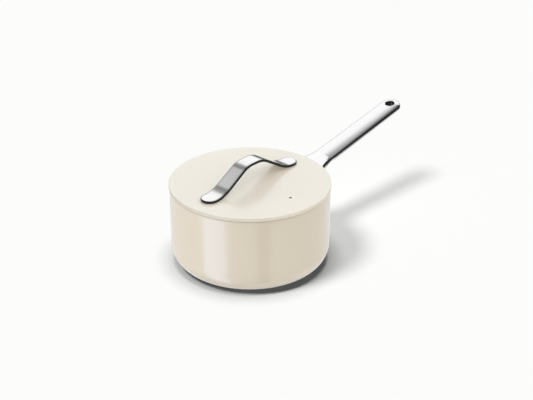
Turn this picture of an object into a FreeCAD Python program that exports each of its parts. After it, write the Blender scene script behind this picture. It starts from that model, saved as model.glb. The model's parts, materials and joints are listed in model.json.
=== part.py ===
import FreeCAD, Part

import math
import os

from FreeCAD import Placement, Rotation, Vector

# A three-litre saucepan with a lift-off lid, in millimetres.
# The origin is the centre of the base, on the surface that the pan stands on.
# +Z is up, and +X runs along the long handle. The lid's strap handle lies along X too.

# Pan shell: a drawn aluminium cup with a slight draft.
RIM_RADIUS = 101.0
RIM_HEIGHT = 103.0
WALL = 3.0
WALL_DRAFT = math.radians(0.3)
CORNER_RADIUS = 23.6
INNER_CORNER_RADIUS = 20.0
FLOOR_THICKNESS = 4.6
RIM_ROUND = 0.9

# Induction disc, let into the underside and standing a little proud of it.
DISC_RADIUS = 72.0
DISC_THICKNESS = 1.3
DISC_PROUD = 0.3
DISC_GAP = 0.2
DISC_ROUND = 0.25

# Lid: a plate with a thicker rim that rests on the pan, and a skirt that drops inside it.
LID_RADIUS = 101.6
LID_EDGE = 4.5
LID_PLATE = 2.6
LID_ROUND = 0.8
SKIRT_GAP = 0.4
SKIRT_WALL = 3.0
SKIRT_DEPTH = 5.0
VENT_RADIUS = 1.8
VENT_DISTANCE = 67.5
VENT_ROUND = 0.4

# Strap handle of the lid: flat bar with round feet, bent up into a bell-shaped bridge.
STRAP_THICKNESS = 3.4
STRAP_HALF_LENGTH = 82.2
STRAP_MIDDLE_WIDTH = 21.2
STRAP_FOOT_WIDTH = 23.2
STRAP_FOOT_BEND = 45.0
STRAP_SLOPE = math.radians(31.0)
STRAP_CREST_BEND = 33.0
STRAP_CREST_FLAT = 4.8
STRAP_RISE = 26.2
STRAP_ROUND = 1.0

# Long handle: a hollow bar of rounded section that climbs away from the pan.
HANDLE_CLIMB = math.radians(11.35)
HANDLE_AXIS_START = Vector(101.6, 0.0, 83.8)
HANDLE_SEAM = 47.0
HANDLE_HOLE_AT = 185.8
HANDLE_ROOT_WIDTH = 30.1
HANDLE_TIP_WIDTH = 28.3
HANDLE_THICKNESS = 10.9
HANDLE_CORNER = 4.1
HANDLE_CROWN = 90.0
HANDLE_SHEET = 1.6
HANGING_HOLE_RADIUS = 6.4
HANGING_HOLE_LIP = 1.0

# Bracket: trumpet-shaped root of the long handle, seated on the pan wall.
FLARE_ROOT = -8.0
FLARE_END = 40.0
FLARE_SPREAD = 17.0
FLARE_HEIGHT_SHARE = 0.66
FLARE_POWER = 1.58
FLARE_STATIONS = (-8.0, 0.0, 7.0, 14.0, 20.0, 26.0, 32.0, 40.0)
NECK_INSET = 1.2
NECK_CORNER = 3.7
TANG_LENGTH = 26.0
TANG_FIT = 0.05

# Rivets: domed heads inside the pan and under the lid.
PAN_RIVET_RADIUS = 3.0
PAN_RIVET_SPREAD = math.radians(9.8)
PAN_RIVET_DEPTH = 3.0
LID_RIVET_RADIUS = 2.5
LID_RIVET_DISTANCE = 71.0
LID_RIVET_DEPTH = 1.8
RIVET_HEAD_RADIUS = 6.2
RIVET_HEAD_HEIGHT = 2.3
RIVET_HEAD_EDGE = 0.5

# Worked out from the sizes above.
LID_TOP = RIM_HEIGHT + LID_EDGE
CORNER_CENTRE_Z = DISC_PROUD + CORNER_RADIUS
Z_AXIS = Vector(0, 0, 1)

# How far a measured edge may be from the size it is looked up by.
CLOSE = 0.01
NEAR = 0.05


def wall_radius(z):
    """Outer radius of the pan wall at height z."""
    return RIM_RADIUS - (RIM_HEIGHT - z) * math.tan(WALL_DRAFT)


def line(a, b):
    return Part.LineSegment(a, b).toShape()


def arc(a, middle, b):
    return Part.Arc(a, middle, b).toShape()


def in_profile(r, z):
    """A point of a profile that is turned about Z."""
    return Vector(r, 0, z)


def turned(edges):
    """Solid of revolution about Z of a closed profile in the XZ plane."""
    face = Part.Face(Part.Wire(edges))
    return face.revolve(Vector(0, 0, 0), Z_AXIS, 360)


def polygon(points):
    return [line(a, b) for a, b in zip(points, points[1:] + points[:1])]


def corner_arc(centre_r, centre_z, radius, end_angle):
    """Profile arc from straight down (-90 degrees) round to end_angle, in radians."""
    def at(angle):
        return in_profile(centre_r + radius * math.cos(angle), centre_z + radius * math.sin(angle))
    start = -math.pi / 2
    return at(start), arc(at(start), at((start + end_angle) / 2), at(end_angle)), at(end_angle)


def filleted(shape, radius, wanted):
    """Shape with the edges for which wanted(edge) is true rounded off."""
    edges = [edge for edge in shape.Edges if wanted(edge)]
    return shape.makeFillet(radius, edges)


def ring_edge(radius, z):
    """Test for a full-circle edge about Z of one radius and height."""
    def test(edge):
        box = edge.BoundBox
        level = abs(box.ZMin - z) < CLOSE and abs(box.ZMax - z) < CLOSE
        return level and abs(box.XMax - radius) < NEAR and abs(box.XMin + radius) < NEAR
    return test


def cup(corner_radius, corner_z, wall_offset, top):
    """Solid bounded by a flat bottom, a round corner and the drafted wall, up to top."""
    slope = WALL_DRAFT
    rim = wall_radius(top) - wall_offset / math.cos(slope)
    foot = rim - (top - corner_z) * math.tan(slope)
    centre_r = foot - corner_radius / math.cos(slope)
    start, bend, end = corner_arc(centre_r, corner_z, corner_radius, -slope)
    edges = [
        line(in_profile(0, start.z), start),
        bend,
        line(end, in_profile(rim, top)),
        line(in_profile(rim, top), in_profile(0, top)),
        line(in_profile(0, top), in_profile(0, start.z)),
    ]
    return turned(edges)


def pan_outside(top):
    return cup(CORNER_RADIUS, CORNER_CENTRE_Z, 0.0, top)


def pan_inside(top):
    floor = DISC_PROUD + FLOOR_THICKNESS
    return cup(INNER_CORNER_RADIUS, floor + INNER_CORNER_RADIUS, WALL, top)


def make_shell():
    """The pan shell before its rivet holes are drilled."""
    shell = pan_outside(RIM_HEIGHT).cut(pan_inside(RIM_HEIGHT))
    rim_outer = ring_edge(wall_radius(RIM_HEIGHT), RIM_HEIGHT)
    rim_inner = ring_edge(wall_radius(RIM_HEIGHT) - WALL / math.cos(WALL_DRAFT), RIM_HEIGHT)
    shell = filleted(shell, RIM_ROUND, lambda edge: rim_outer(edge) or rim_inner(edge))
    depth = DISC_THICKNESS - DISC_PROUD
    return shell.cut(Part.makeCylinder(DISC_RADIUS + DISC_GAP, depth, Vector(0, 0, DISC_PROUD)))


def make_base_plate():
    disc = Part.makeCylinder(DISC_RADIUS, DISC_THICKNESS)
    return filleted(disc, DISC_ROUND, ring_edge(DISC_RADIUS, 0.0))


def rivet_head():
    """Low dome on a thin round edge, sitting on the XY plane and rising along +Z."""
    rise = RIVET_HEAD_HEIGHT - RIVET_HEAD_EDGE
    dome_radius = (RIVET_HEAD_RADIUS ** 2 + rise ** 2) / (2 * rise)
    half_angle = math.asin(RIVET_HEAD_RADIUS / dome_radius) / 2
    middle = in_profile(
        dome_radius * math.sin(half_angle),
        RIVET_HEAD_HEIGHT - dome_radius * (1 - math.cos(half_angle)))
    top = in_profile(0, RIVET_HEAD_HEIGHT)
    brow = in_profile(RIVET_HEAD_RADIUS, RIVET_HEAD_EDGE)
    foot = in_profile(RIVET_HEAD_RADIUS, 0)
    centre = in_profile(0, 0)
    return turned([line(centre, foot), line(foot, brow), arc(brow, middle, top), line(top, centre)])


def make_pan_rivets(shell):
    """Two rivets square to the wall, one each side of the long handle's plane."""
    height = HANDLE_AXIS_START.z
    outer = wall_radius(height)
    inner = outer - WALL / math.cos(WALL_DRAFT)
    seat = math.sqrt(inner ** 2 - RIVET_HEAD_RADIUS ** 2)
    rivets = []
    for side in (-1, 1):
        inward = Rotation(Z_AXIS, math.degrees(side * PAN_RIVET_SPREAD)).multVec(Vector(-1, 0, 0))
        base = inward * -seat + Vector(0, 0, height)
        head = rivet_head()
        head = head.fuse(Part.makeCylinder(RIVET_HEAD_RADIUS, WALL / 2, Vector(0, 0, -WALL / 2)))
        head.Placement = Placement(base, Rotation(Z_AXIS, inward))
        shank_length = outer + PAN_RIVET_DEPTH - seat
        shank = Part.makeCylinder(PAN_RIVET_RADIUS, shank_length, base, inward * -1)
        rivets.append(head.cut(shell).fuse(shank).removeSplitter())
    return Part.makeCompound(rivets)


def make_lid_rivets():
    """Two rivets that hold the strap's feet, with their heads under the lid plate."""
    rivets = []
    for side in (-1, 1):
        under = Vector(side * LID_RIVET_DISTANCE, 0, LID_TOP - LID_PLATE)
        head = rivet_head()
        head.Placement = Placement(under, Rotation(Z_AXIS, Vector(0, 0, -1)))
        shank = Part.makeCylinder(LID_RIVET_RADIUS, LID_PLATE + LID_RIVET_DEPTH, under)
        rivets.append(head.fuse(shank))
    return Part.makeCompound(rivets)


def make_lid_panel():
    """Plate, thick rim and locating skirt, turned as one profile."""
    under_plate = LID_TOP - LID_PLATE
    skirt_outer = wall_radius(RIM_HEIGHT) - WALL / math.cos(WALL_DRAFT) - SKIRT_GAP
    skirt_inner = skirt_outer - SKIRT_WALL
    skirt_bottom = RIM_HEIGHT - SKIRT_DEPTH
    outline = [
        in_profile(0, LID_TOP),
        in_profile(LID_RADIUS, LID_TOP),
        in_profile(LID_RADIUS, RIM_HEIGHT),
        in_profile(skirt_outer, RIM_HEIGHT),
        in_profile(skirt_outer, skirt_bottom),
        in_profile(skirt_inner, skirt_bottom),
        in_profile(skirt_inner, under_plate),
        in_profile(0, under_plate),
    ]
    lid = turned(polygon(outline))
    top_edge = ring_edge(LID_RADIUS, LID_TOP)
    bottom_edge = ring_edge(LID_RADIUS, RIM_HEIGHT)
    skirt_edge = ring_edge(skirt_outer, skirt_bottom)
    lip_edge = ring_edge(skirt_inner, skirt_bottom)
    tests = (top_edge, bottom_edge, skirt_edge, lip_edge)
    lid = filleted(lid, LID_ROUND, lambda edge: any(test(edge) for test in tests))
    vent = Part.makeCylinder(VENT_RADIUS, LID_EDGE, Vector(0, -VENT_DISTANCE, LID_TOP - LID_EDGE))

    def vent_edge(edge):
        """True for the round edge of the steam vent in the top face."""
        box = edge.BoundBox
        narrow = abs(box.XMax - VENT_RADIUS) < NEAR and abs(box.XMin + VENT_RADIUS) < NEAR
        return narrow and abs(box.ZMin - LID_TOP) < CLOSE
    return filleted(lid.cut(vent), VENT_ROUND, vent_edge)


def strap_side_edges():
    """Side view of the strap: its top line, and the same line set in by the thickness."""
    rise = math.sin(STRAP_SLOPE)
    drop = 1 - math.cos(STRAP_SLOPE)
    crest_end = STRAP_CREST_FLAT + STRAP_CREST_BEND * rise
    slope_height = STRAP_RISE - (STRAP_CREST_BEND + STRAP_FOOT_BEND) * drop
    foot_bend_top = crest_end + slope_height / math.tan(STRAP_SLOPE)
    foot_flat_start = foot_bend_top + STRAP_FOOT_BEND * rise

    def half_line(depth):
        """Points from the crest outwards, on the line that lies depth below the top."""
        base = LID_TOP + STRAP_THICKNESS
        crest = base + STRAP_RISE - STRAP_CREST_BEND
        crest_bend = STRAP_CREST_BEND - depth
        foot = base + STRAP_FOOT_BEND
        foot_bend = STRAP_FOOT_BEND + depth

        def on_crest(angle):
            return in_profile(
                STRAP_CREST_FLAT + crest_bend * math.sin(angle), crest + crest_bend * math.cos(angle))

        def on_foot(angle):
            return in_profile(
                foot_flat_start - foot_bend * math.sin(angle), foot - foot_bend * math.cos(angle))
        return [
            (on_crest(0), on_crest(STRAP_SLOPE / 2), on_crest(STRAP_SLOPE)),
            (on_foot(STRAP_SLOPE), on_foot(STRAP_SLOPE / 2), on_foot(0)),
            in_profile(STRAP_HALF_LENGTH, base - depth),
        ]

    def mirrored(point):
        return Vector(-point.x, point.y, point.z)

    def whole_line(depth):
        crest, foot, tip = half_line(depth)
        right = [arc(*crest), line(crest[2], foot[0]), arc(*foot), line(foot[2], tip)]
        crest_left = [mirrored(p) for p in crest]
        foot_left = [mirrored(p) for p in foot]
        left = [
            line(mirrored(tip), foot_left[2]), arc(*reversed(foot_left)),
            line(foot_left[0], crest_left[2]), arc(*reversed(crest_left))]
        return left + [line(crest_left[0], crest[0])] + right, mirrored(tip), tip

    top, top_left, top_right = whole_line(0.0)
    bottom, bottom_left, bottom_right = whole_line(STRAP_THICKNESS)
    return top + [line(top_right, bottom_right)] + bottom + [line(bottom_left, top_left)]


def strap_plan():
    """Plan outline of the strap: slightly waisted, with half-round feet."""
    foot = STRAP_FOOT_WIDTH / 2
    waist = STRAP_MIDDLE_WIDTH / 2
    centre = STRAP_HALF_LENGTH - foot
    waist_radius = (centre ** 2 + waist ** 2 - foot ** 2) / (2 * (foot - waist))
    lean = math.atan2(centre, waist + waist_radius)
    meet = Vector(centre - foot * math.sin(lean), foot * math.cos(lean), 0)

    def at(x_sign, y_sign):
        return Vector(x_sign * meet.x, y_sign * meet.y, 0)

    def tip(x_sign):
        return Vector(x_sign * STRAP_HALF_LENGTH, 0, 0)
    edges = [
        arc(at(-1, 1), Vector(0, waist, 0), at(1, 1)),
        arc(at(1, 1), tip(1), at(1, -1)),
        arc(at(1, -1), Vector(0, -waist, 0), at(-1, -1)),
        arc(at(-1, -1), tip(-1), at(-1, 1)),
    ]
    return Part.Face(Part.Wire(edges))


def make_lid_handle(rivets):
    side = Part.Face(Part.Wire(Part.__sortEdges__(strap_side_edges())))
    side.translate(Vector(0, -STRAP_FOOT_WIDTH, 0))
    bar_shape = side.extrude(Vector(0, 2 * STRAP_FOOT_WIDTH, 0))
    plan = strap_plan().extrude(Vector(0, 0, 3 * LID_TOP))
    strap = bar_shape.common(plan)

    def long_edge(edge):
        """True for the edges along both rims of the strap, top and bottom."""
        box = edge.BoundBox
        crosswise = box.YLength > STRAP_FOOT_WIDTH / 2 and box.XLength < NEAR
        upright = box.XLength < NEAR and box.YLength < NEAR
        return not crosswise and not upright
    strap = filleted(strap, STRAP_ROUND, long_edge)
    return strap.cut(rivets)


# ---- long handle, built along its own axis: X outward from the pan wall, Z square to it ----


def half_section(half_width, half_height, corner, crown):
    """Right half of the bar's section in the YZ plane, from its top centre to its bottom centre.

    The top and bottom are crowned, the corners are round and the side is straight.
    Each edge is a list of two points, or of three when it is an arc.
    """
    crown_centre = half_height - crown
    corner_y = half_width - corner
    corner_z = crown_centre + math.sqrt((crown - corner) ** 2 - corner_y ** 2)
    tangent = crown / (crown - corner)
    meet = (corner_y * tangent, crown_centre + (corner_z - crown_centre) * tangent)
    lean = math.atan2(corner_y, corner_z - crown_centre)
    crown_middle = (crown * math.sin(lean / 2), crown_centre + crown * math.cos(lean / 2))
    turn = (lean + math.pi / 2) / 2
    corner_middle = (corner_y + corner * math.sin(turn), corner_z + corner * math.cos(turn))
    side = (half_width, corner_z)
    upper = [[(0.0, half_height), crown_middle, meet], [meet, corner_middle, side]]
    lower = [[(y, -z) for y, z in reversed(edge)] for edge in reversed(upper)]
    return upper + [[side, (half_width, -corner_z)]] + lower


def section_edges(half, place):
    """Edges of a half section, each point put in space by place(y, z)."""
    edges = []
    for points in half:
        spots = [place(y, z) for y, z in points]
        edges.append(arc(*spots) if len(spots) == 3 else line(*spots))
    return edges


def section_wire(x, half_width, half_height, corner, crown, tilt=0.0):
    """The whole closed section at x; tilt leans it back, top first, towards the upright."""
    half = half_section(half_width, half_height, corner, crown)
    mirrored = [[(-y, z) for y, z in reversed(points)] for points in reversed(half)]
    lean = math.tan(tilt)
    return Part.Wire(section_edges(half + mirrored, lambda y, z: Vector(x + z * lean, y, z)))


def round_tip(half_width, half_height, corner, crown):
    """Half-round end of the handle: the half section turned about the hole's axis."""
    half = half_section(half_width, half_height, corner, crown)
    edges = section_edges(half, lambda y, z: Vector(HANDLE_HOLE_AT, y, z))
    top = Vector(HANDLE_HOLE_AT, 0, half_height)
    bottom = Vector(HANDLE_HOLE_AT, 0, -half_height)
    face = Part.Face(Part.Wire(edges + [line(bottom, top)]))
    return face.revolve(Vector(HANDLE_HOLE_AT, 0, 0), Z_AXIS, -180)


def half_width_at(x):
    """Half width of the handle bar, which tapers to its tip."""
    along = (x - HANDLE_SEAM) / (HANDLE_HOLE_AT - HANDLE_SEAM)
    return (HANDLE_ROOT_WIDTH + (HANDLE_TIP_WIDTH - HANDLE_ROOT_WIDTH) * along) / 2


def bar(start, inset):
    """The handle bar from start to its round tip, with its skin moved inwards by inset."""
    sizes = (HANDLE_THICKNESS / 2 - inset, HANDLE_CORNER - inset, HANDLE_CROWN - inset)
    wires = [section_wire(x, half_width_at(x) - inset, *sizes) for x in (start, HANDLE_HOLE_AT)]
    straight = Part.makeLoft(wires, True, True)
    return straight.fuse(round_tip(half_width_at(HANDLE_HOLE_AT) - inset, *sizes))


def make_long_handle():
    outside = bar(HANDLE_SEAM, 0.0)
    hollow = bar(HANDLE_SEAM, HANDLE_SHEET)
    eyelet = Part.makeCylinder(
        HANGING_HOLE_RADIUS + HANDLE_SHEET, HANDLE_THICKNESS * 2,
        Vector(HANDLE_HOLE_AT, 0, -HANDLE_THICKNESS))
    hole = Part.makeCylinder(
        HANGING_HOLE_RADIUS, HANDLE_THICKNESS * 2,
        Vector(HANDLE_HOLE_AT, 0, -HANDLE_THICKNESS))
    handle = outside.cut(hollow.cut(eyelet)).cut(hole)

    def lip_edge(edge):
        """True for the edges where the hanging hole meets the outer skin."""
        middle = edge.valueAt((edge.FirstParameter + edge.LastParameter) / 2)
        points = [middle] + [vertex.Point for vertex in edge.Vertexes]
        on_hole = all(
            abs(math.hypot(p.x - HANDLE_HOLE_AT, p.y) - HANGING_HOLE_RADIUS) < CLOSE for p in points)
        return on_hole and edge.BoundBox.ZLength < HANDLE_SHEET
    return filleted(handle, HANGING_HOLE_LIP, lip_edge)


def flare(x):
    """How far the bracket spreads to each side at distance x from the wall."""
    reach = max(0.0, FLARE_END - x) / (FLARE_END - FLARE_ROOT)
    return FLARE_SPREAD * reach ** FLARE_POWER


def neck_section(x):
    """Section of the bracket's neck at x, upright at the wall and square to the axis at the end."""
    spread = flare(x)
    tilt = HANDLE_CLIMB * min(1.0, max(0.0, (FLARE_END - x) / FLARE_END))
    half_height = (HANDLE_THICKNESS - NECK_INSET) / 2 + spread * FLARE_HEIGHT_SHARE
    corner = NECK_CORNER + spread * FLARE_HEIGHT_SHARE / 2
    wire = section_wire(x, half_width_at(x) + spread, half_height, corner, HANDLE_CROWN, tilt)
    wire.translate(Vector(0, 0, NECK_INSET / 2))
    return wire


def make_handle_bracket(rivets):
    trumpet = Part.makeLoft([neck_section(x) for x in FLARE_STATIONS], True, False)
    neck = Part.makeLoft([neck_section(FLARE_END), neck_section(HANDLE_SEAM)], True, True)
    inset = HANDLE_SHEET + TANG_FIT
    sizes = (HANDLE_THICKNESS / 2 - inset, HANDLE_CORNER - inset, HANDLE_CROWN - inset)
    tang_ends = (HANDLE_SEAM, HANDLE_SEAM + TANG_LENGTH)
    tang_wires = [section_wire(x, half_width_at(x) - inset, *sizes) for x in tang_ends]
    tang = Part.makeLoft(tang_wires, True, True)
    bracket = to_row(trumpet.fuse(neck).fuse(tang))
    return bracket.cut(pan_outside(RIM_HEIGHT)).cut(rivets)


def to_row(shape):
    """Moves a shape from the handle's own axes to the pan's."""
    turn = Rotation(Vector(0, 1, 0), -math.degrees(HANDLE_CLIMB))
    moved = shape.copy()
    moved.Placement = Placement(HANDLE_AXIS_START, turn)
    return moved


def export(shape, node):
    if not shape.isValid():
        raise ValueError(node + " is not a valid solid")
    shape.exportStep(os.path.join("parts", node + ".step"))


def main():
    os.makedirs("parts", exist_ok=True)
    shell = make_shell()
    pan_rivets = make_pan_rivets(shell)
    lid_rivets = make_lid_rivets()
    export(shell.cut(pan_rivets), "pan_body")
    export(make_base_plate(), "base_plate")
    export(make_handle_bracket(pan_rivets), "handle_bracket")
    export(to_row(make_long_handle()), "long_handle")
    export(pan_rivets, "handle_rivets")
    export(make_lid_panel().cut(lid_rivets), "lid_panel")
    export(make_lid_handle(lid_rivets), "lid_handle")
    export(lid_rivets, "lid_handle_rivets")


main()
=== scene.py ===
import json
import math
from collections import namedtuple

import bmesh
import bpy
from mathutils import Matrix, Vector


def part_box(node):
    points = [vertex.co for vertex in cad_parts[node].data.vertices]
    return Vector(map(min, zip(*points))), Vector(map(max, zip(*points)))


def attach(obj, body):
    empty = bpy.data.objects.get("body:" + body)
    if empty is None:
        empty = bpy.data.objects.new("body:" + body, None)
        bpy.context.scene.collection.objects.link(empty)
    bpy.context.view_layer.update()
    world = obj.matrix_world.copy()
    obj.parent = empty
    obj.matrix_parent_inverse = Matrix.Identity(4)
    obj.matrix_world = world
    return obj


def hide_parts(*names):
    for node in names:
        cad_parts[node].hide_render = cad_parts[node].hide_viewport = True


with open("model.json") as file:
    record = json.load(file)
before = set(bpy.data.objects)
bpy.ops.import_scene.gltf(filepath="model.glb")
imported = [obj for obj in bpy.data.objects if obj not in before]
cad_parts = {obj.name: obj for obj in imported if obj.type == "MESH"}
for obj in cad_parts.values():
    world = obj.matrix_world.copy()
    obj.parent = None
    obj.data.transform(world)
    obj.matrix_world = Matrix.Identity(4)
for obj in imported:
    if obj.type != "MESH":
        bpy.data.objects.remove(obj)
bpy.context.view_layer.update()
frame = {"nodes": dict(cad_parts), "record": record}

MM = 0.001

# ---- sizes that the boxes of the CAD nodes don't give, in millimetres and radians ----

# Pan shell.
WALL = 3.0
WALL_DRAFT = math.radians(0.3)
CORNER_RADIUS = 23.6
INNER_CORNER_RADIUS = 20.0
FLOOR_THICKNESS = 4.6
RIM_ROUND = 0.9
RECESS_GAP = 0.2
# Heights at which the straight wall has a loop of its own.
WALL_LOOPS = (40.0, 55.0, 70.0, 85.0)

# Induction disc: fine turned grooves in its underside, and its rounded lower edge.
GROOVE_STEP = 9.0
GROOVE_HALF = 0.6
GROOVE_DEPTH = 0.15
DISC_ROUND = 0.25

# Lid.
LID_EDGE = 4.5
LID_PLATE = 2.6
LID_ROUND = 0.8
SKIRT_GAP = 0.4
SKIRT_WALL = 3.0
VENT_RADIUS = 1.8
VENT_DISTANCE = 67.5
VENT_ROUND = 0.4
# The flat top and underside start this far in from the edge and from the skirt.
TOP_MARGIN = 8.0
UNDER_MARGIN = 4.0
# The side band is every vertex at least this far outside the start of the edge's rounding.
SIDE_TOLERANCE = 0.01

# Strap handle of the lid.
STRAP_THICKNESS = 3.4
STRAP_MIDDLE_WIDTH = 21.2
STRAP_FOOT_WIDTH = 23.2
STRAP_FOOT_BEND = 45.0
STRAP_SLOPE = math.radians(31.0)
STRAP_CREST_BEND = 33.0
STRAP_CREST_FLAT = 4.8
STRAP_ROUND = 1.0
# Share of the painted shade, a near-black colour, on each ring of the rounding, from the face to
# the side.
STRAP_EDGE_SHADE = (0.45, 0.9, 1.0, 1.0, 1.0)

# Steps of the meshes: once round, along the arcs of a profile, and along and across the strap.
TURN_STEPS = 192
VENT_STEPS = 32
CORNER_STEPS = 20
INNER_CORNER_STEPS = 18
EDGE_STEPS = 6
SMALL_EDGE_STEPS = 4
STRAP_SIDE_STEPS = 64
STRAP_TIP_STEPS = 18
STRAP_STRIPS = 8

# ---- studio: where the camera stands ----

# The studio's own axes have Y straight away from the camera. The long handle (+X of the row)
# points to the back and the right, at this angle to the studio's X axis.
STUDIO_TURN = math.radians(47.3)

# The camera's place in the studio's axes, in metres, and the angle at which it looks down.
CAMERA_SPOT = Vector((0.02054, -1.4102, 0.8025))
CAMERA_PITCH = math.radians(27.10)
CAMERA_LENS = 85.0
CAMERA_SENSOR = 36.0


def in_row(studio_vector):
    """A point or direction given in the studio's axes, in the row's axes."""
    return Matrix.Rotation(-STUDIO_TURN, 3, "Z") @ Vector(studio_vector)


def add_object(name, data):
    thing = bpy.data.objects.new(name, data)
    bpy.context.scene.collection.objects.link(thing)
    return thing


def make_camera():
    data = bpy.data.cameras.new("camera")
    data.lens = CAMERA_LENS
    data.sensor_width = CAMERA_SENSOR
    camera = add_object("camera", data)
    camera.location = in_row(CAMERA_SPOT)
    camera.rotation_euler = (math.pi / 2 - CAMERA_PITCH, 0, -STUDIO_TURN)
    bpy.context.scene.camera = camera


# ---- node helpers ----

# Nearly all of a noise is in this range.
NOISE_LOW = 0.3
NOISE_HIGH = 0.7


class Nodes:
    """A node tree with short calls for adding and linking nodes."""

    def __init__(self, tree):
        self.tree = tree
        self.tree.nodes.clear()

    def add(self, kind, **settings):
        node = self.tree.nodes.new("ShaderNode" + kind)
        inputs = settings.pop("inputs", {})
        for name, value in settings.items():
            setattr(node, name, value)
        for name, value in inputs.items():
            if isinstance(value, bpy.types.NodeSocket):
                self.tree.links.new(value, node.inputs[name])
            else:
                node.inputs[name].default_value = value
        return node

    def math(self, operation, a, b=0.0, c=0.0):
        return self.add("Math", operation=operation, inputs={0: a, 1: b, 2: c}).outputs[0]

    def two_tone(self, noise, dark, light):
        """Colour that goes from dark to light over the usual range of a noise."""
        node = self.add("ValToRGB", inputs={0: noise})
        stops = ((NOISE_LOW, dark), (NOISE_HIGH, light))
        for element, (position, colour) in zip(node.color_ramp.elements, stops):
            element.position = position
            element.color = (*colour, 1.0)
        return node.outputs["Color"]

    def painted(self, layer):
        """Value that the mesh stores at its vertices under this name."""
        return self.add("Attribute", attribute_name=layer).outputs["Fac"]

    def fade(self, value, from_low, from_high, to_low=0.0, to_high=1.0):
        """Smooth step from to_low to to_high as value goes from from_low to from_high."""
        inputs = {0: value, 1: from_low, 2: from_high, 3: to_low, 4: to_high}
        return self.add("MapRange", interpolation_type="SMOOTHSTEP", inputs=inputs).outputs[0]

    def noise(self, vector, scale, detail=2.0, roughness=0.5):
        inputs = {"Vector": vector, "Scale": scale, "Detail": detail, "Roughness": roughness}
        return self.add("TexNoise", inputs=inputs).outputs[0]

    def scaled(self, vector, scale):
        return self.add("Mapping", inputs={"Vector": vector, "Scale": scale}).outputs[0]

    def mix(self, factor, a, b):
        """Colour between a and b."""
        node = self.add("Mix", data_type="RGBA", inputs={0: factor})
        for socket, value in ((node.inputs[6], a), (node.inputs[7], b)):
            if isinstance(value, bpy.types.NodeSocket):
                self.tree.links.new(value, socket)
            else:
                socket.default_value = (*value, 1.0)
        return node.outputs[2]


def linear(red, green, blue):
    """Linear colour from 8-bit sRGB values."""
    def channel(value):
        value = value / 255
        return value / 12.92 if value <= 0.04045 else ((value + 0.055) / 1.055) ** 2.4

    return (channel(red), channel(green), channel(blue))


def mixed(a, b, share):
    """Colour at this share of the way from a to b."""
    return tuple(x + (y - x) * share for x, y in zip(a, b))


def new_material(name):
    material = bpy.data.materials.new(name)
    material.use_nodes = True
    return material, Nodes(material.node_tree)


def finish_material(nodes, shader):
    nodes.add("OutputMaterial", inputs={"Surface": shader.outputs[0]})


# ---- materials ----

BLACK = (0.0, 0.0, 0.0)
WHITE = (1.0, 1.0, 1.0)

# Noise scales are per metre and bump heights in metres.

# Coatings: mottling of the colour, orange peel, and patches of slightly other roughness.
MOTTLE_SCALE = 14.0
MOTTLE_SHARE = 0.02
PEEL_SCALE = 700.0
PEEL_STRENGTH = 0.05
PEEL_HEIGHT = 0.0003
PATCH_SCALE = 60.0
PATCH_SPREAD = 0.03
COATING_IOR = 1.5

# Steel: height, colour and roughness of its fine lines.
LINE_HEIGHT = 0.0001
LINE_DARK = 0.06
LINE_LIGHT = 0.04
LINE_ROUGHNESS_SPREAD = 0.15
# The painted shade inside a hole fades out between these shares of its radius.
BORE_SHADE_FADE = (1.01, 1.05)

PAN_CREAM = (0.795, 0.698, 0.558)
# Lighter than the pan's cream although both are one coating: the difference is painted light, for
# the paler look of the lid's top.
LID_CREAM_LIGHTENED = (0.86, 0.775, 0.65)
# Painted shade: a darker cream on the lid's rim and side band, damping the light its rounding
# catches.
LID_EDGE_SHADED_CREAM = (0.83, 0.76, 0.63)
# Brown painted shade for the vent and the gap where the lid sits on the pan.
GAP_SHADE_BROWN = (0.28, 0.19, 0.09)
STEEL = (0.72, 0.72, 0.715)
POLISHED_STEEL = (0.82, 0.82, 0.82)
SATIN_STEEL = (0.8, 0.8, 0.79)
# Painted shade: near-black colour for the strap's rounded sides, which stands in for how dark they
# look.
SATIN_SIDE_SHADE = (0.04, 0.04, 0.04)
# Painted shade: near-black inside the handle's hanging hole.
BORE_SHADE = (0.03, 0.03, 0.03)


def coating(name, colour, roughness, coat, coat_roughness, shaded_edge_colour=None, gap_shade_colour=None):
    """Sprayed ceramic coating: very slight mottling and a fine orange-peel surface.

    The edge colour is painted shade on the lid's rim and side band, and the gap colour is brown
    painted shade in the vent and the gap at the lid's seat; each is laid where the mesh's matching
    painted value is 1.
    """
    material, n = new_material(name)
    where = n.add("TexCoord").outputs["Object"]
    darker, lighter = mixed(colour, BLACK, MOTTLE_SHARE), mixed(colour, WHITE, MOTTLE_SHARE)
    tint = n.two_tone(n.noise(where, MOTTLE_SCALE, detail=3.0), darker, lighter)
    if shaded_edge_colour:
        tint = n.mix(n.painted("edge"), tint, shaded_edge_colour)
        tint = n.mix(n.painted("gap_shade"), tint, gap_shade_colour)
    peel = n.noise(where, PEEL_SCALE, detail=2.0)
    bump = n.add("Bump", inputs={
        "Strength": PEEL_STRENGTH, "Distance": PEEL_HEIGHT, "Height": peel})
    patches = n.noise(where, PATCH_SCALE, detail=4.0)
    smoother, rougher = roughness - PATCH_SPREAD, roughness + PATCH_SPREAD
    rough = n.fade(patches, NOISE_LOW, NOISE_HIGH, smoother, rougher)
    shader = n.add("BsdfPrincipled", inputs={
        "Base Color": tint, "Roughness": rough, "Normal": bump.outputs[0],
        "Coat Weight": coat, "Coat Roughness": coat_roughness, "IOR": COATING_IOR})
    finish_material(n, shader)
    return material


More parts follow.
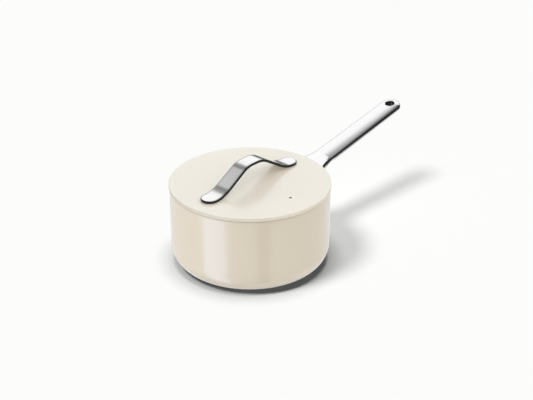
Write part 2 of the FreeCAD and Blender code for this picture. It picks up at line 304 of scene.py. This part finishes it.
def brushed(name, colour, roughness, stretch, depth, shaded_edge_colour=None, shaded_bore=None):
    """Steel with fine lines. stretch is the scale of their noise along X, Y and Z, per metre.

    The edge colour is painted shade, laid where the mesh's painted edge value is 1. A hole given as
    (place, axis, radius) gets painted shade, a near-black colour, inside it.
    """
    material, n = new_material(name)
    where = n.add("TexCoord").outputs["Object"]
    lines = n.noise(n.scaled(where, stretch), 1.0, detail=4.0, roughness=0.6)
    bump = n.add("Bump", inputs={"Strength": depth, "Distance": LINE_HEIGHT, "Height": lines})
    smoother = roughness * (1 - LINE_ROUGHNESS_SPREAD)
    rougher = roughness * (1 + LINE_ROUGHNESS_SPREAD)
    rough = n.fade(lines, NOISE_LOW, NOISE_HIGH, smoother, rougher)
    darker, lighter = mixed(colour, BLACK, LINE_DARK), mixed(colour, WHITE, LINE_LIGHT)
    tint = n.two_tone(lines, darker, lighter)
    if shaded_edge_colour:
        tint = n.mix(n.painted("edge"), tint, shaded_edge_colour)
    if shaded_bore:
        place, axis, radius = shaded_bore
        away = n.add("VectorMath", operation="SUBTRACT", inputs={0: where, 1: place}).outputs[0]
        side = n.add("VectorMath", operation="CROSS_PRODUCT", inputs={0: away, 1: axis}).outputs[0]
        off = n.add("VectorMath", operation="LENGTH", inputs={0: side}).outputs["Value"]
        near, far = (radius * share for share in BORE_SHADE_FADE)
        tint = n.mix(n.fade(off, near, far, 1.0, 0.0), tint, BORE_SHADE)
    shader = n.add("BsdfPrincipled", inputs={
        "Base Color": tint, "Metallic": 1.0, "Roughness": rough, "Normal": bump.outputs[0]})
    finish_material(n, shader)
    return material


hanging_hole = next(m for m in frame["record"]["mounts"] if m["name"] == "hanging_hole")
HOLE = (hanging_hole["pos_m"], hanging_hole["axis"], hanging_hole["dims"]["r_mm"] * MM)

materials = {
    "pan_coating": coating(
        "pan_coating", PAN_CREAM, roughness=0.36, coat=1.0, coat_roughness=0.13),
    "lid_coating": coating(
        "lid_coating", LID_CREAM_LIGHTENED, roughness=0.45, coat=0.2, coat_roughness=0.25,
        shaded_edge_colour=LID_EDGE_SHADED_CREAM, gap_shade_colour=GAP_SHADE_BROWN),
    "disc_steel": brushed(
        "disc_steel", STEEL, roughness=0.3, stretch=(300, 300, 300), depth=0.1),
    # The inside of the hanging hole is painted near-black as shade.
    "polished_steel": brushed(
        "polished_steel", POLISHED_STEEL, roughness=0.1, stretch=(30, 900, 900), depth=0.03,
        shaded_bore=HOLE),
    "satin_steel": brushed(
        "satin_steel", SATIN_STEEL, roughness=0.16, stretch=(60, 1600, 1600), depth=0.05,
        shaded_edge_colour=SATIN_SIDE_SHADE),
    "rivet_steel": brushed(
        "rivet_steel", STEEL, roughness=0.2, stretch=(500, 500, 500), depth=0.05),
}


def paint_cad_nodes():
    slots = {part["node"]: part["material_slot"] for part in frame["record"]["subparts"]}
    for node, piece in frame["nodes"].items():
        for slot in piece.material_slots:
            slot.material = materials[slots[node]]


# ---- meshes, built in millimetres ----


def new_piece(name, bm, body, slot, node):
    """Makes the visible piece that stands for one CAD node."""
    bmesh.ops.recalc_face_normals(bm, faces=bm.faces[:])
    mesh = bpy.data.meshes.new(name)
    bm.to_mesh(mesh)
    bm.free()
    mesh.transform(Matrix.Scale(MM, 4))
    mesh.shade_smooth()
    mesh.materials.append(materials[slot])
    piece = add_object(name, mesh)
    piece.modifiers.new("flat faces stay flat", "WEIGHTED_NORMAL")
    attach(piece, body)
    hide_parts(node)
    return piece


def arc_points(centre, radius, start, end, steps):
    """Points (r, z) of an arc; the angles are in degrees, from the outward direction."""
    points = []
    for step in range(steps + 1):
        angle = math.radians(start + (end - start) * step / steps)
        points.append((centre[0] + radius * math.cos(angle), centre[1] + radius * math.sin(angle)))
    return points


def ring(bm, radius, z, steps=TURN_STEPS, centre=(0.0, 0.0)):
    """Loop of vertices about a vertical axis, or one vertex where the radius is nothing."""
    if radius == 0:
        return [bm.verts.new((centre[0], centre[1], z))]
    loop = []
    for step in range(steps):
        angle = 2 * math.pi / steps * step
        x, y = centre[0] + radius * math.cos(angle), centre[1] + radius * math.sin(angle)
        loop.append(bm.verts.new((x, y, z)))
    return loop


def new_face(bm, corners):
    """Face with these corners, of which neighbours may be the same vertex."""
    bm.faces.new(list(dict.fromkeys(corners)))


def join_rings(bm, first, second):
    """Faces between two loops; either may be a single vertex."""
    count = max(len(first), len(second))
    for i in range(count):
        a, b = first[i % len(first)], first[(i + 1) % len(first)]
        c, d = second[(i + 1) % len(second)], second[i % len(second)]
        new_face(bm, (a, b, c, d))


def turned(bm, profile, steps=TURN_STEPS, centre=(0.0, 0.0)):
    """Turns a profile of (r, z) points about a vertical axis. Returns its first and last loop."""
    rings = [ring(bm, r, z, steps, centre) for r, z in profile]
    for first, second in zip(rings, rings[1:]):
        join_rings(bm, first, second)
    return rings[0], rings[-1]


def box_mm(node):
    """Low and high corner of a CAD node's box, in millimetres."""
    low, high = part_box(node)
    return low / MM, high / MM


def make_pan_body():
    """Shell with a drafted wall, rounded corners, a round rim and the disc's recess."""
    low, high = box_mm("pan_body")
    disc_high = box_mm("base_plate")[1]
    rim, top, bottom = high.x, high.z, low.z
    draft = math.tan(WALL_DRAFT)
    tilt = math.degrees(WALL_DRAFT)

    def wall_at(z, inset):
        return rim - inset - (top - z) * draft

    outer_z = bottom + CORNER_RADIUS
    outer_r = wall_at(outer_z, 0.0) - CORNER_RADIUS
    floor = bottom + FLOOR_THICKNESS
    inner_z = floor + INNER_CORNER_RADIUS
    inner_r = wall_at(inner_z, WALL) - INNER_CORNER_RADIUS
    recess = disc_high.x + RECESS_GAP
    rim_z = top - RIM_ROUND
    profile = [(0.0, disc_high.z), (recess, disc_high.z), (recess, bottom)]
    profile += arc_points((outer_r, outer_z), CORNER_RADIUS, -90, -tilt, CORNER_STEPS)
    profile += [(wall_at(z, 0.0), z) for z in WALL_LOOPS]
    profile += arc_points((rim - RIM_ROUND, rim_z), RIM_ROUND, 0, 90, EDGE_STEPS)
    profile += arc_points((rim - WALL + RIM_ROUND, rim_z), RIM_ROUND, 90, 180, EDGE_STEPS)
    profile += [(wall_at(z, WALL), z) for z in reversed(WALL_LOOPS)]
    profile += arc_points(
        (inner_r, inner_z), INNER_CORNER_RADIUS, -tilt, -90, INNER_CORNER_STEPS)
    profile += [(0.0, floor)]
    bm = bmesh.new()
    turned(bm, profile)
    shell = new_piece("pan_shell", bm, "pan", "pan_coating", "pan_body")
    # It throws no bounce light on the floor, which keeps the contact shadow dark and neutral.
    shell.visible_diffuse = False


def make_base_disc():
    """Induction disc with fine turned grooves in its underside."""
    high = box_mm("base_plate")[1]
    profile = [(0.0, 0.0)]
    radius = GROOVE_STEP
    while radius < high.x - GROOVE_HALF * 2:
        profile += [(radius - GROOVE_HALF, 0.0), (radius - GROOVE_HALF / 2, GROOVE_DEPTH)]
        profile += [(radius + GROOVE_HALF / 2, GROOVE_DEPTH), (radius + GROOVE_HALF, 0.0)]
        radius += GROOVE_STEP
    profile += arc_points(
        (high.x - DISC_ROUND, DISC_ROUND), DISC_ROUND, -90, 0, SMALL_EDGE_STEPS)
    profile += [(high.x, high.z), (0.0, high.z)]
    bm = bmesh.new()
    turned(bm, profile)
    new_piece("base_disc", bm, "pan", "disc_steel", "base_plate")


def fill_between(bm, outer, inner):
    """Flat faces between an outer loop and a hole's loop."""
    edges = []
    for loop in (outer, inner):
        for a, b in zip(loop, loop[1:] + loop[:1]):
            edges.append(bm.edges.get((a, b)) or bm.edges.new((a, b)))
    bmesh.ops.triangle_fill(bm, edges=edges, use_beauty=True)


def make_lid_panel():
    """Plate with a thick round edge, a locating skirt and the steam vent."""
    low, high = box_mm("lid_panel")
    pan_rim = box_mm("pan_body")[1].x
    top, radius = high.z, high.x
    seat = top - LID_EDGE
    under = top - LID_PLATE
    skirt_out = pan_rim - WALL - SKIRT_GAP
    skirt_in = skirt_out - SKIRT_WALL
    r = LID_ROUND
    profile = [(radius - TOP_MARGIN, top)]
    profile += arc_points((radius - r, top - r), r, 90, 0, EDGE_STEPS)
    profile += arc_points((radius - r, seat + r), r, 0, -90, EDGE_STEPS)
    profile += [(skirt_out, seat)]
    profile += arc_points((skirt_out - r, low.z + r), r, 0, -90, SMALL_EDGE_STEPS)
    profile += arc_points((skirt_in + r, low.z + r), r, -90, -180, SMALL_EDGE_STEPS)
    profile += [(skirt_in, under), (skirt_in - UNDER_MARGIN, under)]
    bm = bmesh.new()
    plate_top, plate_under = turned(bm, profile)
    vent_round = VENT_RADIUS + VENT_ROUND
    vent = arc_points((vent_round, top - VENT_ROUND), VENT_ROUND, 90, 180, SMALL_EDGE_STEPS)
    vent += [(VENT_RADIUS, under)]
    vent_centre = Vector((0.0, -VENT_DISTANCE))
    vent_top, vent_under = turned(bm, vent, VENT_STEPS, vent_centre)
    fill_between(bm, plate_top, vent_top)
    fill_between(bm, plate_under, vent_under)
    # Painted shade: the lid's rounded rim and side band take the darker edge cream.
    shaded_edge_layer = bm.verts.layers.float.new("edge")
    # Painted shade: the vent and the lid's lower rounding at the seat take a brown colour that
    # stands in for the dark gap.
    gap_shade_layer = bm.verts.layers.float.new("gap_shade")
    for vert in bm.verts:
        on_side = vert.co.xy.length > radius - r + SIDE_TOLERANCE
        in_vent = (vert.co.xy - vent_centre).length < VENT_RADIUS + VENT_ROUND / 2
        vert[shaded_edge_layer] = float(on_side)
        vert[gap_shade_layer] = float(in_vent or vert.co.z < seat + r / 2)
    plate = new_piece("lid_plate", bm, "lid", "lid_coating", "lid_panel")
    # Like the pan's shell, it throws no bounce light.
    plate.visible_diffuse = False


class Strap:
    """Shape of the lid's strap: its bent top line and its waisted plan."""

    def __init__(self):
        low, high = box_mm("lid_handle")
        self.half_length = high.x
        self.base = low.z + STRAP_THICKNESS
        self.rise = high.z - self.base
        sine, drop = math.sin(STRAP_SLOPE), 1 - math.cos(STRAP_SLOPE)
        self.crest_end = STRAP_CREST_FLAT + STRAP_CREST_BEND * sine
        slope_height = self.rise - (STRAP_CREST_BEND + STRAP_FOOT_BEND) * drop
        self.slope_end = self.crest_end + slope_height / math.tan(STRAP_SLOPE)
        self.foot_start = self.slope_end + STRAP_FOOT_BEND * sine

    def top(self, x):
        """Height of the top line and its slope angle at distance x from the middle."""
        crest = self.base + self.rise - STRAP_CREST_BEND
        if x <= STRAP_CREST_FLAT:
            return self.base + self.rise, 0.0
        if x <= self.crest_end:
            angle = math.asin((x - STRAP_CREST_FLAT) / STRAP_CREST_BEND)
            return crest + STRAP_CREST_BEND * math.cos(angle), angle
        if x <= self.slope_end:
            start = crest + STRAP_CREST_BEND * math.cos(STRAP_SLOPE)
            return start - (x - self.crest_end) * math.tan(STRAP_SLOPE), STRAP_SLOPE
        if x <= self.foot_start:
            angle = math.asin((self.foot_start - x) / STRAP_FOOT_BEND)
            return self.base + STRAP_FOOT_BEND * (1 - math.cos(angle)), angle
        return self.base, 0.0

    def outline(self):
        """Quarter of the plan, from the middle of a side to the tip: (x, y, normal angle)."""
        foot, waist = STRAP_FOOT_WIDTH / 2, STRAP_MIDDLE_WIDTH / 2
        centre = self.half_length - foot
        waist_radius = (centre ** 2 + waist ** 2 - foot ** 2) / (2 * (foot - waist))
        lean = math.atan2(centre, waist + waist_radius)
        meet = centre - foot * math.sin(lean)
        points = []
        for step in range(STRAP_SIDE_STEPS):
            x = meet * step / STRAP_SIDE_STEPS
            angle = math.asin(x / waist_radius)
            y = waist + waist_radius * (1 - math.cos(angle))
            points.append((x, y, math.pi / 2 + angle))
        for step in range(STRAP_TIP_STEPS + 1):
            angle = (math.pi / 2 + lean) * (1 - step / STRAP_TIP_STEPS)
            points.append((centre + foot * math.cos(angle), foot * math.sin(angle), angle))
        return points

    def place(self, x, y, depth):
        """Point at plan position (x, y), at a depth below the bent top surface."""
        height, angle = self.top(abs(x))
        side = 1 if x >= 0 else -1
        return (x - side * depth * math.sin(angle), y, height - depth * math.cos(angle))


def rounding_levels():
    """Rings of the strap's side, from its top face down: (inset, depth, share of painted shade)."""
    levels = []
    for step, shade in enumerate(STRAP_EDGE_SHADE):
        angle = math.radians(90 * step / (len(STRAP_EDGE_SHADE) - 1))
        inset, depth = STRAP_ROUND * (1 - math.sin(angle)), STRAP_ROUND * (1 - math.cos(angle))
        levels.append((inset, depth, shade))
    mirrored = [(inset, STRAP_THICKNESS - depth, shade) for inset, depth, shade in levels[::-1]]
    return levels + mirrored


def close_with_strips(bm, loop):
    """Closes a long loop, which starts at one tip, with rows of faces across it."""
    count = len(loop)
    rows = [[loop[0]]]
    for i in range(1, count // 2):
        a, b = loop[i], loop[count - i]
        between = range(1, STRAP_STRIPS)
        rows.append([a] + [bm.verts.new(a.co.lerp(b.co, k / STRAP_STRIPS)) for k in between] + [b])
    rows.append([loop[count // 2]])
    for first, second in zip(rows, rows[1:]):
        for k in range(STRAP_STRIPS):
            a, b = first[min(k, len(first) - 1)], first[min(k + 1, len(first) - 1)]
            c, d = second[min(k + 1, len(second) - 1)], second[min(k, len(second) - 1)]
            new_face(bm, (a, b, c, d))


def make_lid_strap():
    """Strap with rounded edges: rings of its outline, closed by strips across it."""
    strap = Strap()
    quarter = strap.outline()
    half_top = quarter[::-1] + [(-x, y, math.pi - a) for x, y, a in quarter[1:]]
    half_low = [(x, -y, -a) for x, y, a in half_top[::-1][1:-1]]
    bm = bmesh.new()
    # Painted shade: each ring of the strap's sides gets its share of the near-black colour.
    shaded_edge_layer = bm.verts.layers.float.new("edge")
    rings = []
    for inset, depth, shade in rounding_levels():
        verts = []
        for x, y, a in half_top + half_low:
            place = strap.place(x - inset * math.cos(a), y - inset * math.sin(a), depth)
            vert = bm.verts.new(place)
            vert[shaded_edge_layer] = shade
            verts.append(vert)
        rings.append(verts)
    for first, second in zip(rings, rings[1:]):
        join_rings(bm, first, second)
    close_with_strips(bm, rings[0])
    close_with_strips(bm, rings[-1])
    new_piece("lid_strap", bm, "lid", "satin_steel", "lid_handle")


# ---- studio: floor, lamps and world ----

FLOOR_HALF = 20.0
FLOOR_NOISE_SCALE = 3.0
FLOOR_DARK = (0.918, 0.922, 0.90)
FLOOR_LIGHT = (0.922, 0.926, 0.904)

EVEN_COLOUR = (0.97, 0.98, 1.0)
EVEN_STRENGTH = 0.085
BACKDROP = linear(252, 253, 248)


def make_floor():
    """Wide plain floor, very slightly mottled."""
    material, n = new_material("floor")
    where = n.add("TexCoord").outputs["Object"]
    tint = n.two_tone(n.noise(where, FLOOR_NOISE_SCALE), FLOOR_DARK, FLOOR_LIGHT)
    finish_material(n, n.add("BsdfDiffuse", inputs={"Color": tint}))
    half = FLOOR_HALF
    mesh = bpy.data.meshes.new("floor")
    corners = [(-half, -half, 0), (half, -half, 0), (half, half, 0), (-half, half, 0)]
    mesh.from_pydata(corners, [], [(0, 1, 2, 3)])
    mesh.materials.append(material)
    floor = add_object("floor", mesh)
    floor.visible_glossy = False


def group_of(things):
    """Collection for light linking: what a lamp lights, or what casts its shadows."""
    group = bpy.data.collections.new("group")
    for thing in things:
        group.objects.link(thing)
    return group


def sun(name, towards, width, power, colour=WHITE, lights=None, shadows=None):
    """Distant soft lamp in a studio direction, with its width in degrees.

    It lights the collection lights, and only things in the collection shadows cast its shadows.
    None means everything.
    """
    data = bpy.data.lights.new(name, "SUN")
    data.energy = power
    data.angle = math.radians(width)
    data.color = colour
    lamp = add_object(name, data)
    lamp.rotation_mode = "QUATERNION"
    lamp.rotation_quaternion = in_row(towards).to_track_quat("Z", "Y")
    lamp.visible_glossy = False
    lamp.light_linking.receiver_collection = lights
    lamp.light_linking.blocker_collection = shadows


def make_lights():
    """Soft suns, each limited in what it lights and shades, as by screens in a studio."""
    meshes = [thing for thing in bpy.data.objects if thing.type == "MESH"]
    pieces = [thing for thing in meshes if thing.name != "floor"]

    def only(name):
        return group_of(thing for thing in pieces if thing.name == name)

    def without(things, *names):
        return group_of(thing for thing in things if thing.name not in names)

    all_pieces = group_of(pieces)
    lid = only("lid_plate")
    all_but_lid = without(meshes, "lid_plate")
    pieces_but_lid = without(pieces, "lid_plate")

    # The two main lamps light the floor and the pan, and throw the shadows on the floor.
    sun("key", (-0.48, -0.30, 1.0), width=17.0, power=1.467,
        lights=all_but_lid, shadows=all_pieces)
    sun("overhead", (0.0, 0.0, 1.0), width=26.0, power=1.79, lights=all_but_lid,
        shadows=without(pieces, "lid_strap", "long_handle", "handle_bracket"))

    # The lid has its own light: wide lamps above for its top and the strap's soft shadow, one low
    # lamp in front for its side band, and one low lamp behind for the long shadow of the strap.
    sun("wide overhead", (0.0, 0.1, 1.0), width=60.0, power=0.521, lights=lid)
    sun("over lid", (0.2, 0.35, 1.0), width=100.0, power=0.84, colour=(0.93, 1.0, 1.12), lights=lid)
    sun("lid base", (0.0, 0.0, 1.0), width=60.0, power=0.45, lights=lid,
        shadows=without(pieces, "lid_strap"))
    sun("lid edge", (-0.3, -1.0, 0.12), width=40.0, power=0.6, lights=lid)
    sun("back", (0.1, 1.0, 0.48), width=8.0, power=1.15, colour=(0.72, 1.0, 1.25), lights=lid)

    # Fill light round the pan and the steel.
    sun("rear", (0.15, 1.0, 0.5), width=40.0, power=1.3, colour=(1.0, 0.98, 0.95),
        lights=pieces_but_lid)
    sun("right", (1.0, 0.1, 0.4), width=50.0, power=0.9, colour=(1.0, 0.97, 0.92),
        lights=all_pieces)
    sun("left", (-1.0, 0.3, 0.35), width=30.0, power=0.5, lights=all_pieces)
    sun("front", (0.0, -1.0, 0.6), width=60.0, power=0.48, lights=all_pieces)

    # Light that the pale floor throws up on the wall of the pan.
    sun("floor glow", (0.0, -0.8, -0.6), width=60.0, power=0.35,
        lights=only("pan_shell"), shadows=all_pieces)


# A soft panel that polished surfaces reflect, with its angles in degrees: the azimuth of its middle
# and half its width, its lowest and highest elevation, the width of its soft edges, its brightness
# and colour. Azimuth 0 is straight behind the object, 90 is to the right and elevation 0 is level.
Panel = namedtuple("Panel", "centre half low high blur bright colour", defaults=(WHITE,))

# Brightness where there is no panel.
PANEL_BASE = 0.15

# Later panels cover earlier ones.
PANELS = [
    # The pale floor, and the part of it straight below.
    Panel(centre=0, half=180, low=-90, high=0, blur=6, bright=0.85),
    Panel(centre=0, half=180, low=-90, high=-52, blur=12, bright=0.65),
    # A screen on the camera's side.
    Panel(centre=180, half=66, low=5, high=50, blur=10, bright=0.85),
    # The dark horizon behind, and a narrow dark strip in front.
    Panel(centre=0, half=60, low=-22, high=8, blur=3, bright=0.1),
    Panel(centre=160, half=10, low=-60, high=-4, blur=7, bright=0.0),
    # The ceiling, and a screen to the left.
    Panel(centre=0, half=180, low=56, high=90, blur=6, bright=0.42),
    Panel(centre=-100, half=48, low=30, high=75, blur=8, bright=0.52),
    # The large bright screen behind, and a darker patch above its left half.
    Panel(centre=-5, half=60, low=8, high=48.5, blur=15, bright=1.2),
    Panel(centre=-36, half=14, low=47, high=80, blur=8, bright=0.2),
    # The black screen to the right, and the bright bluish strip low on the left.
    Panel(centre=92, half=38, low=-25, high=34, blur=5, bright=0.03),
    Panel(centre=-128, half=18, low=-60, high=-3, blur=6, bright=2.6, colour=(0.78, 0.95, 1.3)),
]


def studio_panels(n):
    """Colour that the panels give to each direction of the world."""
    way = n.add("TexCoord").outputs["Generated"]
    turn = {"Vector": way, "Angle": STUDIO_TURN}
    studio_way = n.add("VectorRotate", rotation_type="Z_AXIS", inputs=turn).outputs[0]
    x, y, z = n.add("SeparateXYZ", inputs={0: studio_way}).outputs
    azimuth = n.math("MULTIPLY", n.math("ARCTAN2", x, y), math.degrees(1))
    elevation = n.math("MULTIPLY", n.math("ARCSINE", z), math.degrees(1))
    total = (PANEL_BASE, PANEL_BASE, PANEL_BASE)
    for panel in PANELS:
        edge = panel.blur / 2
        inside = above = below = 1.0
        if panel.half < 180:
            turned_by = n.math("SUBTRACT", azimuth, panel.centre)
            off = n.math("ABSOLUTE", n.math("WRAP", turned_by, 180.0, -180.0))
            inside = n.fade(off, panel.half - edge, panel.half + edge, 1.0, 0.0)
        if panel.low > -90:
            above = n.fade(elevation, panel.low - edge, panel.low + edge)
        if panel.high < 90:
            below = n.fade(elevation, panel.high - edge, panel.high + edge, 1.0, 0.0)
        mask = n.math("MULTIPLY", inside, n.math("MULTIPLY", above, below))
        total = n.mix(mask, total, tuple(panel.bright * channel for channel in panel.colour))
    return total


def make_world():
    """Weak even light, with the panels in reflections and a pale backdrop for the camera."""
    world = bpy.data.worlds.new("studio")
    world.use_nodes = True
    world.cycles.sampling_method = "NONE"
    n = Nodes(world.node_tree)

    def background(colour, strength=1.0):
        return n.add("Background", inputs={"Color": colour, "Strength": strength}).outputs[0]

    even = background((*EVEN_COLOUR, 1.0), EVEN_STRENGTH)
    panels = background(studio_panels(n))
    pale = background((*BACKDROP, 1.0))
    path = n.add("LightPath").outputs
    lit = n.add("MixShader", inputs={0: path["Is Glossy Ray"], 1: even, 2: panels}).outputs[0]
    seen = n.add("MixShader", inputs={0: path["Is Camera Ray"], 1: lit, 2: pale}).outputs[0]
    n.add("OutputWorld", inputs={"Surface": seen})
    bpy.context.scene.world = world


bpy.context.scene.view_settings.view_transform = "Standard"
paint_cad_nodes()
make_pan_body()
make_base_disc()
make_lid_panel()
make_lid_strap()
make_camera()
make_floor()
make_world()
make_lights()
